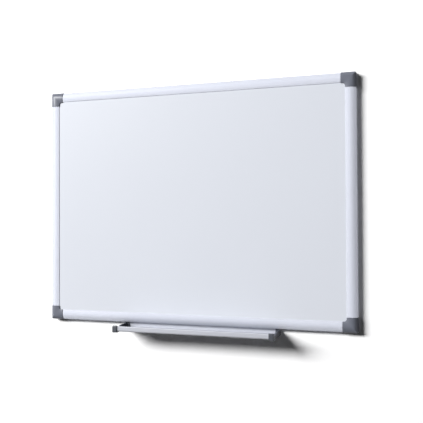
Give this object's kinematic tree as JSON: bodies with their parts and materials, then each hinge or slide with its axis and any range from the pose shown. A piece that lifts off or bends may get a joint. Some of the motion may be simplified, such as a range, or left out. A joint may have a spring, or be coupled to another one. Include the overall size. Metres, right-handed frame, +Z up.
{
  "type": "magnetic whiteboard",
  "caption": "Wall-hung magnetic whiteboard: lacquered steel writing panel in a rounded aluminium frame with pull-off corner covers and a sliding pen tray below.",
  "frame": {"origin": "middle of the four wall-screw holes, on the wall plane", "axes": "+X to the right as the board is read, +Y out of its back towards the wall, +Z up"},
  "size_m": [0.6016, 0.0604, 0.4639],
  "materials": {
    "writing_lacquer": "glossy white lacquer on steel",
    "core_board": "raw light fibreboard",
    "zinc_backing": "thin zinc-coated sheet",
    "frame_aluminium": "satin anodised",
    "tray_aluminium": "satin anodised",
    "cover_plastic": "satin moulded grey",
    "tray_end_plastic": "satin moulded grey",
    "key_plastic": "dark moulded plastic"
  },
  "bodies": {
    "base": {"writing_sheet": "writing_lacquer", "panel_core": "core_board", "back_sheet": "zinc_backing", "frame_top": "frame_aluminium", "frame_bottom": "frame_aluminium", "frame_left": "frame_aluminium", "frame_right": "frame_aluminium", "corner_key_top_left": "key_plastic", "corner_key_top_right": "key_plastic", "corner_key_bottom_left": "key_plastic", "corner_key_bottom_right": "key_plastic"},
    "tray": {"tray_profile": "tray_aluminium", "tray_end_left": "tray_end_plastic", "tray_end_right": "tray_end_plastic"},
    "cover_top_left": {"corner_cover_top_left": "cover_plastic"},
    "cover_top_right": {"corner_cover_top_right": "cover_plastic"},
    "cover_bottom_left": {"corner_cover_bottom_left": "cover_plastic"},
    "cover_bottom_right": {"corner_cover_bottom_right": "cover_plastic"}
  },
  "joints": [
    {"name": "tray_slide", "type": "slide", "parent": "base", "child": "tray", "axis": [1, 0, 0], "range_m": [-0.1312, 0.1112]},
    {"name": "cover_pull_top_left", "type": "slide", "parent": "base", "child": "cover_top_left", "axis": [0, -1, 0], "range_m": [0, 0.03]},
    {"name": "cover_pull_top_right", "type": "slide", "parent": "base", "child": "cover_top_right", "axis": [0, -1, 0], "range_m": [0, 0.03]},
    {"name": "cover_pull_bottom_left", "type": "slide", "parent": "base", "child": "cover_bottom_left", "axis": [0, -1, 0], "range_m": [0, 0.03]},
    {"name": "cover_pull_bottom_right", "type": "slide", "parent": "base", "child": "cover_bottom_right", "axis": [0, -1, 0], "range_m": [0, 0.03]}
  ]
}
